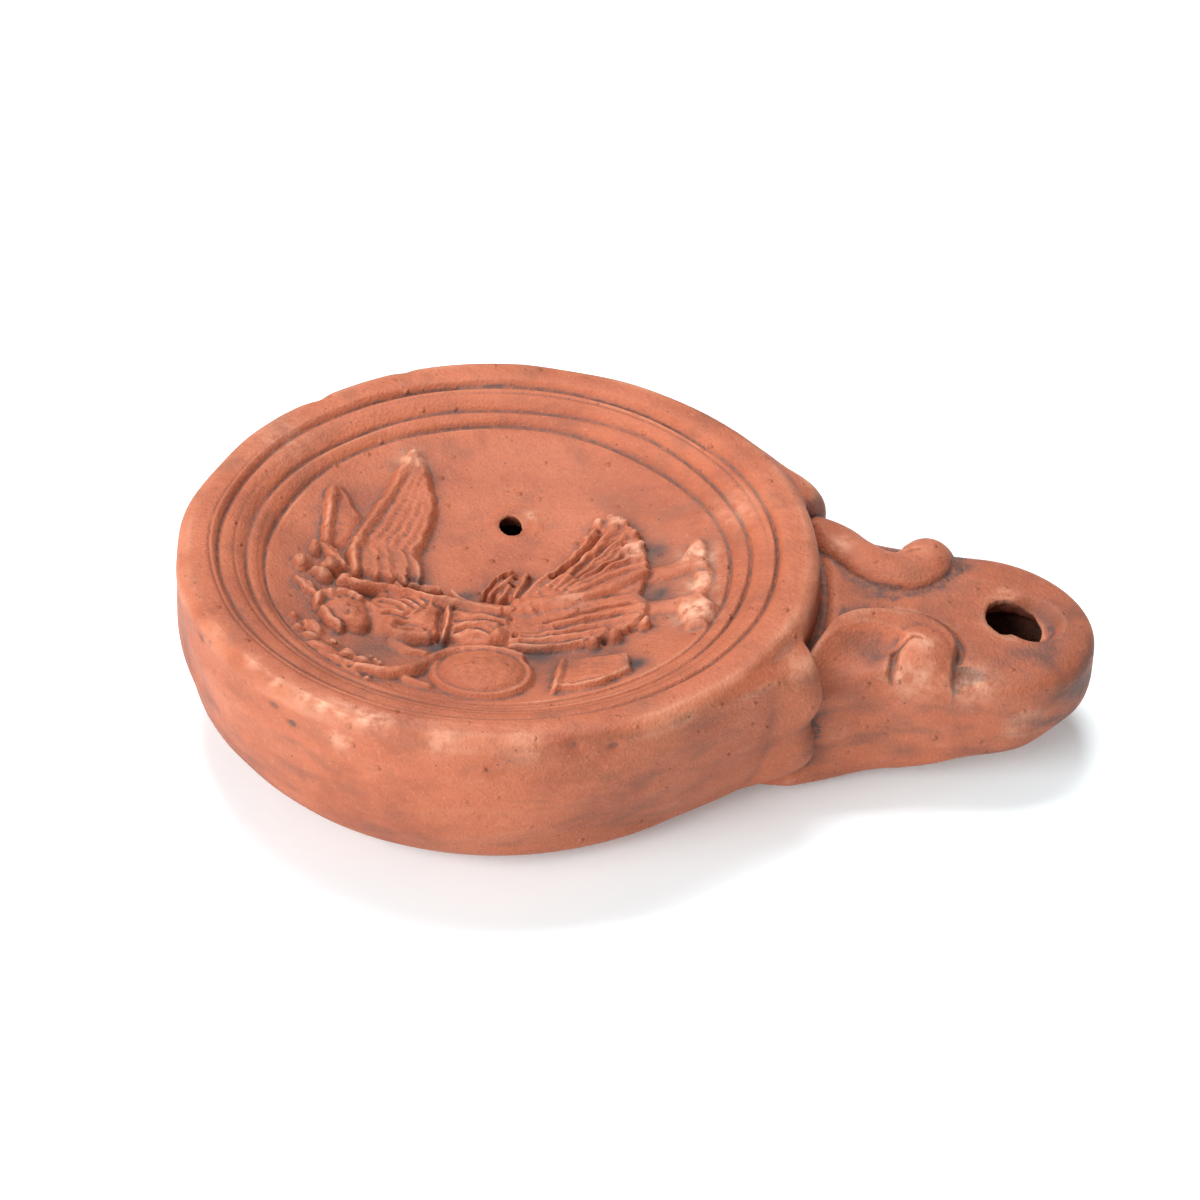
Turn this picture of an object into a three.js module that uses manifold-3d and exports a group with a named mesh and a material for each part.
// A Roman oil lamp in fired clay: a round flat body with a sunken discus, a rounded nozzle flanked by two
// volutes, and a winged figure in low relief. It is one hollow moulded piece, open at the filling hole and
// at the wick hole. Millimetres, +Z up, nozzle towards +X, origin at the middle of the underside.
import * as THREE from "three";
import { mergeVertices } from "three/addons/utils/BufferGeometryUtils.js";
import Module from "manifold-3d";

const wasm = await Module();
wasm.setup();

// Body: the round part.
const BODY_RADIUS = 41;
const BODY_HEIGHT = 25;
const BASE_RADIUS = 22;
const RIM_ROUND = 1.6;
const WALL_BELLY = 2.9; // how far down the wall stays upright before it turns under
const WALL_TURN = 3.2; // how square that turn is
const CLAY_THICKNESS = 3.3;
const BASE_RING_WIDTH = 1.6;
const BASE_RING_DEPTH = 0.6;
const BASE_RING_INSET = 1.8;

// Top: three cut rings step down from the shoulder to a dished discus.
const SHOULDER_WIDTH = 5.6;
const OUTER_BAND = 3.5;
const INNER_BAND = 2.5;
const RING_DROPS = [0.4, 1.6, 2.7]; // of the three rings below the rim
const GROOVE_WIDTH = 0.9;
const GROOVE_DEPTH = 0.5;
const DISCUS_DISH = 4;

// Nozzle: a tongue that falls towards its tip and rises underneath.
const NOZZLE_LENGTH = 35; // beyond the body's wall
const NOZZLE_HALF_WIDTH = 14.4;
const NOZZLE_TIP_LENGTH = 15;
const NOZZLE_DROP = 5.6; // from the rim to the nozzle's top at the body
const NOZZLE_FALL = 3.2; // further drop at the tip
const NOZZLE_LIFT = 8.6; // height of its underside at the tip
const NOZZLE_CLEARANCE = 0.8; // of its underside over the table at the body
const NOZZLE_SQUARENESS = 4.2;
const NOZZLE_NOSE = 5; // how blunt the tip is, seen from the side
const NECK_FLARE = 2.4;
const NECK_FADE = 4;

// Holes.
const WICK_HOLE_RADIUS = 4;
const WICK_HOLE_SETBACK = 10.6; // from the nozzle's tip
const WICK_LIP = 0.6;
const FILL_HOLE_RADIUS = 2.3;
const FILL_HOLE_ASIDE = 12.2; // from the lamp's long axis
const FILL_HOLE_AHEAD = 1.2;
const FILL_LIP = 0.6;

// Volutes, and the knobs that they spring from.
const VOLUTE_RISE = 1.7;
const VOLUTE_WIDTH = 9;
const VOLUTE_EDGE = 2.4;
const SCROLL_RADIUS = 3.7;
const SCROLL_FORWARD = 12.8; // from the body's wall
const SCROLL_ASIDE = 10.4; // from the nozzle's middle line
const VOLUTE_GAP = 3.6; // least distance of a volute from the middle line
const KNOB_ANGLE = THREE.MathUtils.degToRad(25);
const KNOB_RADIUS = 3.5;
const KNOB_DROP = 0.8; // from the rim to the upper bulb's top
const KNOB_LENGTH = 20;
const KNOB_BULBS = 2;
const BULB_PITCH = 1.5; // in half heights of a bulb

// Relief: the figure lies along +X. Its places and widths are shares of the discus radius.
// These are its heights over the discus floor.
const HEAD_RISE = 3;
const TORSO_RISE = 2.5;
const SKIRT_RISE = 1.6;
const FOLD_RISE = 2.1;
const WING_RISE = 1.1;
const FEATHER_RISE = 1.7;
const LIMB_RISE = 1.8;
const SHIELD_RISE = 1.3;
const TABLET_RISE = 1.6;
const LEAF_RISE = 1.3;
const RELIEF_ROOT = 1; // how deep it is rooted in the floor
const SKIRT_FOLDS = 7;
const WING_FEATHERS = 5;

const CLAY = { color: 0xc96f4e, roughness: 0.86, metalness: 0 };
const BODY_SIDES = 46;
const HOLE_SIDES = 12;
const RIDGE_SIDES = 6;
const NOZZLE_SIDES = 20;

const GROOVE_RADII = [
  BODY_RADIUS - SHOULDER_WIDTH,
  BODY_RADIUS - SHOULDER_WIDTH - OUTER_BAND,
  BODY_RADIUS - SHOULDER_WIDTH - OUTER_BAND - INNER_BAND,
];
const DISCUS_RADIUS = GROOVE_RADII[2];
const DISCUS_EDGE_Z = BODY_HEIGHT - RING_DROPS[2];
const NOZZLE_REACH = BODY_RADIUS + NOZZLE_LENGTH;
const TIP_START = NOZZLE_REACH - NOZZLE_TIP_LENGTH;
const WICK_X = NOZZLE_REACH - WICK_HOLE_SETBACK;

const { clamp, degToRad, lerp, smoothstep } = THREE.MathUtils;

// Height of the dished discus floor at a point of the plan.
function discusFloor(x, y) {
  const share = Math.min(1, Math.hypot(x, y) / DISCUS_RADIUS);
  return DISCUS_EDGE_Z - DISCUS_DISH * (1 - share * share);
}

function nozzleTop(x) {
  return BODY_HEIGHT - NOZZLE_DROP - (NOZZLE_FALL * (x - BODY_RADIUS)) / NOZZLE_LENGTH;
}

function nozzleUnderside(x) {
  const share = Math.max(0, (x - BODY_RADIUS) / NOZZLE_LENGTH);
  return NOZZLE_CLEARANCE + (NOZZLE_LIFT - NOZZLE_CLEARANCE) * share ** 1.3;
}

function channelMiddle(x) {
  return (nozzleTop(x) + nozzleUnderside(x)) / 2;
}

// Half the nozzle's width: flared at the neck, round at the tip.
function nozzleHalfWidth(x, inset) {
  const flare = NECK_FLARE * Math.exp(-Math.max(0, x - BODY_RADIUS) / NECK_FADE);
  const share = clamp((x - TIP_START) / (NOZZLE_TIP_LENGTH - inset), 0, 1);
  return (NOZZLE_HALF_WIDTH - inset + flare) * Math.sqrt(1 - share * share);
}

// Radius of the body's wall at a height.
function wallRadius(z) {
  const share = clamp(1 - z / (BODY_HEIGHT - RIM_ROUND), 0, 1);
  return BASE_RADIUS + (BODY_RADIUS - BASE_RADIUS) * (1 - share ** WALL_BELLY) ** (1 / WALL_TURN);
}

// The solid of a closed geometry, its shared corners merged.
function solid(geometry) {
  const bare = geometry.clone();
  bare.deleteAttribute("normal");
  bare.deleteAttribute("uv");
  const merged = mergeVertices(bare, 1e-4);
  const vertProperties = new Float32Array(merged.attributes.position.array);
  const triVerts = new Uint32Array(merged.index.array);
  return new wasm.Manifold(new wasm.Mesh({ numProp: 3, vertProperties, triVerts }));
}

// A solid of revolution about Z from [radius, height] pairs, from the axis below to the axis above.
function turned(profile, sides) {
  const points = profile.map(([radius, z]) => new THREE.Vector2(radius, z));
  return solid(new THREE.LatheGeometry(points, sides).rotateX(Math.PI / 2));
}

// The solid through loops of equally many points, each turning left about the way ahead, closed at both ends.
function lofted(loops) {
  const sides = loops[0].length;
  const positions = loops.flat().flatMap((point) => point.toArray());
  const index = [];
  for (let row = 0; row + 1 < loops.length; row++) {
    for (let j = 0; j < sides; j++) {
      const a = row * sides + j;
      const b = row * sides + ((j + 1) % sides);
      index.push(a, b, b + sides, a, b + sides, a + sides);
    }
  }
  for (let j = 1; j + 1 < sides; j++) {
    const last = (loops.length - 1) * sides;
    index.push(0, j + 1, j, last, last + j, last + j + 1);
  }
  const geometry = new THREE.BufferGeometry();
  geometry.setAttribute("position", new THREE.Float32BufferAttribute(positions, 3));
  return solid(geometry.setIndex(index));
}

// Adds up solids.
function joined(solids) {
  return solids.reduce((sum, next) => sum.add(next));
}

// A superellipse loop across the lamp's long axis at x.
function boxyLoop(x, half, under, top) {
  return Array.from({ length: NOZZLE_SIDES }, (_, j) => {
    const turn = (2 * Math.PI * (j + 0.5)) / NOZZLE_SIDES;
    const squared = (value) => Math.sign(value) * Math.abs(value) ** (2 / NOZZLE_SQUARENESS);
    const up = (1 + squared(Math.sin(turn))) / 2;
    return new THREE.Vector3(x, half * squared(Math.cos(turn)), lerp(under, top, up));
  });
}

// The tongue from inside the body to its tip. With an inset it is the channel inside it.
function nozzle(inset = 0) {
  const tipLength = NOZZLE_TIP_LENGTH - inset;
  const straight = [0.62, 1, 1.05, 1.1, 1.18, 1.3].map((share) => BODY_RADIUS * share);
  const round = [0, 0.35, 0.6, 0.78, 0.9, 0.97, 0.995].map((share) => TIP_START + tipLength * share);
  return lofted(
    [...straight, ...round].map((x) => {
      const share = clamp((x - TIP_START) / tipLength, 0, 1);
      const squash = (1 - (1 - share ** NOZZLE_NOSE) ** 0.4) / 2;
      const under = nozzleUnderside(x) + inset;
      const top = nozzleTop(x) - inset;
      return boxyLoop(x, nozzleHalfWidth(x, inset), lerp(under, top, squash), lerp(top, under, squash));
    }),
  );
}

function body() {
  const ringOuter = BASE_RADIUS - BASE_RING_INSET;
  const ringInner = ringOuter - BASE_RING_WIDTH;
  const profile = [[0, 0], [ringInner, 0], [(ringInner + ringOuter) / 2, BASE_RING_DEPTH], [ringOuter, 0]];
  for (const share of [0, 0.02, 0.1, 0.24, 0.44, 0.7, 1]) {
    const z = (BODY_HEIGHT - RIM_ROUND) * share;
    profile.push([wallRadius(z), z]);
  }
  for (const turn of [Math.PI / 4, Math.PI / 2]) {
    const out = BODY_RADIUS - RIM_ROUND * (1 - Math.cos(turn));
    profile.push([out, BODY_HEIGHT - RIM_ROUND * (1 - Math.sin(turn))]);
  }
  GROOVE_RADII.forEach((radius, i) => {
    const z = BODY_HEIGHT - RING_DROPS[i];
    profile.push([radius + GROOVE_WIDTH / 2, z], [radius, z - GROOVE_DEPTH], [radius - GROOVE_WIDTH / 2, z]);
  });
  for (const share of [0.7, 0.4, 0]) {
    const radius = DISCUS_RADIUS * share;
    profile.push([radius, discusFloor(radius, 0)]);
  }
  return turned(profile, BODY_SIDES);
}

// The hollow inside the body, one clay thickness from the wall, the base and the top.
function reservoir() {
  const floor = CLAY_THICKNESS;
  const roof = BODY_HEIGHT - RING_DROPS[1] - GROOVE_DEPTH - CLAY_THICKNESS;
  const profile = [[0, floor]];
  for (const share of [0, 0.15, 0.4, 0.8]) {
    const z = lerp(floor, roof, share);
    profile.push([wallRadius(z) - CLAY_THICKNESS, z]);
  }
  profile.push([GROOVE_RADII[0], roof], [GROOVE_RADII[1], roof]);
  profile.push([DISCUS_RADIUS, DISCUS_EDGE_Z - CLAY_THICKNESS - GROOVE_DEPTH]);
  for (const share of [0.7, 0.35, 0]) {
    const radius = DISCUS_RADIUS * share;
    profile.push([radius, discusFloor(radius, 0) - CLAY_THICKNESS]);
  }
  return turned(profile, HOLE_SIDES * 2);
}

// A hole from a surface at height z down to the hollow at height foot, with a sloping lip.
function hole(x, y, z, foot, radius, lip) {
  const shape = [[0, foot], [radius, foot], [radius, z - lip], [radius + 2 * lip, z + lip], [0, z + lip]];
  return turned(shape, HOLE_SIDES).translate([x, y, 0]);
}

// An ellipsoid about a point, its half sizes long, wide and high, turned in the plan.
function mound(place, halves, turn = 0, around = 10, rows = 6) {
  const shape = new THREE.SphereGeometry(1, around, rows).rotateX(Math.PI / 2);
  return solid(shape.scale(...halves).rotateZ(degToRad(turn)).translate(...place));
}

// A rounded ridge along plan points [x, y, half width, height], laid on a ground height and rooted in it.
function ridge(points, ground, rooted, steps) {
  const places = points.map(([x, y]) => new THREE.Vector3(x, y, 0));
  const route = new THREE.CatmullRomCurve3(places, false, "centripetal");
  const girths = points.map(([, , wide, high]) => new THREE.Vector3(wide, high, 0));
  const sizes = new THREE.CatmullRomCurve3(girths);
  const loops = Array.from({ length: steps + 1 }, (_, i) => {
    const at = route.getPoint(i / steps);
    const ahead = route.getTangent(i / steps);
    const size = sizes.getPoint(i / steps);
    return Array.from({ length: RIDGE_SIDES }, (_, j) => {
      const turn = (2 * Math.PI * j) / RIDGE_SIDES;
      const aside = size.x * Math.cos(turn);
      const z = ground(at.x, at.y) + (j > RIDGE_SIDES / 2 ? rooted : size.y) * Math.sin(turn);
      return new THREE.Vector3(at.x - ahead.y * aside, at.y + ahead.x * aside, z);
    });
  });
  return lofted(loops);
}

// One volute: a broad low band that leaves the knob, swings in beside the middle line and rolls up in a
// scroll beyond it. A narrow ridge follows its inner edge.
function volute(side) {
  const scrollX = BODY_RADIUS + SCROLL_FORWARD;
  const root = [BODY_RADIUS * Math.cos(KNOB_ANGLE) + 1, BODY_RADIUS * Math.sin(KNOB_ANGLE) - 2];
  const swing = [[0.12, 8], [0.4, 3], [0.75, 0], [1.15, 1.4], [1.3, 4.5]];
  const bends = swing.map(([share, out]) => [BODY_RADIUS + SCROLL_FORWARD * share, VOLUTE_GAP + out]);
  const inner = [root, ...bends];
  const laid = (points, wide, high, steps) => {
    const route = points.map(([x, y], i) => [x, (y + wide[i] / 2) * side, wide[i] / 2, high]);
    return ridge(route, nozzleTop, NOZZLE_DROP, steps);
  };
  const widths = [0.3, 0.55, 0.9, 1, 0.9].map((share) => share * VOLUTE_WIDTH);
  const band = laid(inner.slice(0, widths.length), widths, VOLUTE_RISE * 0.8, 6);
  const edge = laid(inner, inner.map(() => VOLUTE_EDGE), VOLUTE_RISE, 9);
  const at = [scrollX, SCROLL_ASIDE * side, nozzleTop(scrollX)];
  const scroll = mound(at, [SCROLL_RADIUS, SCROLL_RADIUS, VOLUTE_RISE * 1.3], 0, 12, 6);
  return joined([band, edge, scroll]);
}

// The knob beside a volute's root: two bulbs, one above the other, down the wall.
function knob(side) {
  const half = KNOB_LENGTH / (2 + BULB_PITCH * (KNOB_BULBS - 1));
  return joined(
    Array.from({ length: KNOB_BULBS }, (_, i) => {
      const z = BODY_HEIGHT - KNOB_DROP - half * (1 + BULB_PITCH * i);
      const out = wallRadius(z);
      const place = [out * Math.cos(KNOB_ANGLE), out * Math.sin(KNOB_ANGLE) * side, z];
      return mound(place, [KNOB_RADIUS, KNOB_RADIUS, half]);
    }),
  );
}

// A relief mound, its place and plan sizes in shares of the discus radius.
function swell(x, y, long, wide, high, turn = 0) {
  const [px, py, pl, pw] = [x, y, long, wide].map((share) => share * DISCUS_RADIUS);
  const [around, rows] = long > 0.1 ? [12, 8] : [8, 4];
  return mound([px, py, discusFloor(px, py)], [pl, pw, high], turn, around, rows);
}

// A relief ridge, its points [x, y, half width] in shares of the discus radius and its height along it.
function crease(points, high, steps = 4) {
  const scaled = points.map((point) => [...point.map((share) => share * DISCUS_RADIUS), high]);
  return ridge(scaled, discusFloor, RELIEF_ROOT, steps);
}

function wings() {
  const panel = [[-0.5, 0, 0.13], [-0.48, 0.3, 0.14], [-0.43, 0.58, 0.09], [-0.4, 0.8, 0.03]];
  const parts = [crease(panel, WING_RISE)];
  for (let i = 0; i < WING_FEATHERS; i++) {
    const share = i / (WING_FEATHERS - 1);
    const root = [lerp(-0.55, -0.38, share), 0.05, 0.03];
    const bend = [lerp(-0.62, -0.35, share), lerp(0.26, 0.2, share), 0.04];
    const tip = [lerp(-0.4, -0.33, share), lerp(0.84, 0.42, share), 0.022];
    parts.push(crease([root, bend, tip], FEATHER_RISE, 3));
  }
  parts.push(crease([[-0.75, 0.2, 0.04], [-0.77, 0.42, 0.05], [-0.74, 0.58, 0.03]], WING_RISE, 3));
  parts.push(crease([[-0.74, 0.56, 0.03], [-0.66, 0.45, 0.03], [-0.6, 0.36, 0.02]], FEATHER_RISE, 3));
  return parts;
}

function head() {
  const curls = [[-0.79, 0.13], [-0.85, 0.01], [-0.73, 0.01], [-0.65, -0.07], [-0.82, -0.14]];
  const parts = curls.map(([x, y]) => swell(x, y, 0.055, 0.05, HEAD_RISE * 0.75));
  parts.push(swell(-0.63, -0.27, 0.12, 0.13, HEAD_RISE, 15));
  parts.push(crease([[-0.75, -0.18, 0.03], [-0.77, -0.3, 0.04], [-0.7, -0.4, 0.03]], HEAD_RISE * 0.8, 4));
  return parts;
}

function torso() {
  const parts = [swell(-0.38, -0.27, 0.2, 0.17, TORSO_RISE, -12)];
  parts.push(crease([[-0.6, -0.06, 0.03], [-0.4, -0.07, 0.04], [-0.14, -0.13, 0.03]], TORSO_RISE * 0.9));
  parts.push(crease([[-0.46, -0.38, 0.06], [-0.36, -0.52, 0.05], [-0.2, -0.58, 0.03]], LIMB_RISE));
  parts.push(crease([[-0.21, -0.14, 0.03], [-0.19, -0.28, 0.03], [-0.2, -0.43, 0.03]], TORSO_RISE));
  for (const y of [-0.2, -0.31, -0.42]) {
    const fold = [[-0.2, y, 0.05], [-0.05, y - 0.01, 0.045], [0.08, y + 0.02, 0.04]];
    parts.push(crease(fold, TORSO_RISE * 0.85, 3));
  }
  const tuft = [[-0.04, 0, 0.05], [0.05, 0.14, 0.05], [0.08, 0.06, 0.04], [0.07, -0.1, 0.04]];
  parts.push(crease(tuft, TORSO_RISE * 0.9));
  parts.push(swell(0.06, -0.33, 0.07, 0.06, TORSO_RISE));
  return parts;
}

// The skirt's folds fan out from the waist, wider and higher towards the hem.
function skirt() {
  const waist = [-0.07, -0.2];
  const reach = (share) => [lerp(-21, 52, share), lerp(0.62, 0.86, share)];
  const place = (turn, away) => {
    const angle = degToRad(turn);
    return [waist[0] + away * Math.cos(angle), waist[1] + away * Math.sin(angle)];
  };
  const [middleTurn, middleReach] = reach(0.5);
  const panel = [[0.08, 0.1], [0.5, 0.34], [0.93, 0.4]];
  const route = panel.map(([share, wide]) => [...place(middleTurn, middleReach * share), wide]);
  const parts = [crease(route, SKIRT_RISE, 3)];
  for (let i = 0; i < SKIRT_FOLDS; i++) {
    const [turn, away] = reach(i / (SKIRT_FOLDS - 1));
    const [start, middle, hem] = [place(turn, 0.2), place(turn + 3, away * 0.55), place(turn, away)];
    parts.push(crease([[...start, 0.024], [...middle, 0.032], [...hem, 0.05]], FOLD_RISE, 3));
  }
  return parts;
}

function feet() {
  const legs = [[0.66, 0.12, 0.8, 0.21], [0.66, -0.13, 0.82, -0.1], [0.64, -0.27, 0.82, -0.24]];
  return legs.flatMap(([x, y, toeX, toeY]) => [
    crease([[x, y, 0.045], [toeX, toeY, 0.04]], LIMB_RISE * 0.8, 2),
    swell(toeX + 0.04, toeY, 0.045, 0.085, LIMB_RISE),
  ]);
}

// A round shield with a raised rim, held by a band that swings round it.
function shield() {
  const [x, y, radius] = [-0.02, -0.665, 0.2].map((share) => share * DISCUS_RADIUS);
  const section = [[0, -1], [1, -1], [1, 0.7], [0.9, 1], [0.8, 0.3], [0, 0.8]];
  const profile = section.map(([out, up]) => [out * radius, up * SHIELD_RISE]);
  const disc = turned(profile, HOLE_SIDES * 2).translate([x, y, discusFloor(x, y)]);
  const bends = [[-0.55, -0.68], [-0.36, -0.69], [-0.24, -0.57], [-0.1, -0.47], [0.08, -0.47]];
  return [disc, crease(bends.map((bend) => [...bend, 0.033]), SHIELD_RISE, 8)];
}

function branch() {
  const behind = [[-0.75, -0.42, 60], [-0.83, -0.5, 100], [-0.74, -0.54, 30], [-0.7, -0.62, 60]];
  const above = [[-0.62, -0.52, 100], [-0.56, -0.6, 20], [-0.48, -0.62, 50]];
  const below = [[-0.58, -0.76, -20], [-0.48, -0.77, 10]];
  const stem = crease([[-0.72, -0.66, 0.02], [-0.58, -0.69, 0.025], [-0.4, -0.7, 0.025]], LEAF_RISE * 0.8, 4);
  const leaves = [...behind, ...above, ...below];
  return [stem, ...leaves.map(([x, y, turn]) => swell(x, y, 0.075, 0.035, LEAF_RISE, turn))];
}

// A square tablet standing proud of the floor, with a raised near edge.
function tablet() {
  const [x, y, size] = [0.43, -0.6, 0.27].map((share) => share * DISCUS_RADIUS);
  const slab = new THREE.BoxGeometry(size * 1.15, size * 0.8, TABLET_RISE * 2);
  const edge = new THREE.BoxGeometry(size * 0.14, size * 0.86, TABLET_RISE * 2.5);
  edge.translate(-size * 0.54, 0, 0);
  return [slab, edge].map((box) => solid(box.rotateZ(degToRad(8)).translate(x, y, discusFloor(x, y))));
}

const figure = [...wings(), ...head(), ...torso(), ...skirt(), ...feet()];
const things = [...shield(), ...branch(), ...tablet()];
const sides = [-1, 1].flatMap((side) => [volute(side), knob(side)]);
const fillHole = [FILL_HOLE_AHEAD, FILL_HOLE_ASIDE];
const hollow = joined([
  reservoir(),
  nozzle(CLAY_THICKNESS),
  hole(WICK_X, 0, nozzleTop(WICK_X), channelMiddle(WICK_X), WICK_HOLE_RADIUS, WICK_LIP),
  hole(...fillHole, discusFloor(...fillHole), BODY_HEIGHT / 2, FILL_HOLE_RADIUS, FILL_LIP),
]);
const lamp = joined([body(), nozzle(), ...sides, ...figure, ...things]).subtract(hollow);

const result = lamp.getMesh();
const geometry = new THREE.BufferGeometry();
geometry.setAttribute("position", new THREE.BufferAttribute(result.vertProperties, 3));
geometry.setIndex(new THREE.BufferAttribute(result.triVerts, 1));
const mesh = new THREE.Mesh(geometry, new THREE.MeshStandardMaterial(CLAY));
mesh.name = "lamp_body";
const group = new THREE.Group();
group.add(mesh);
export default group;
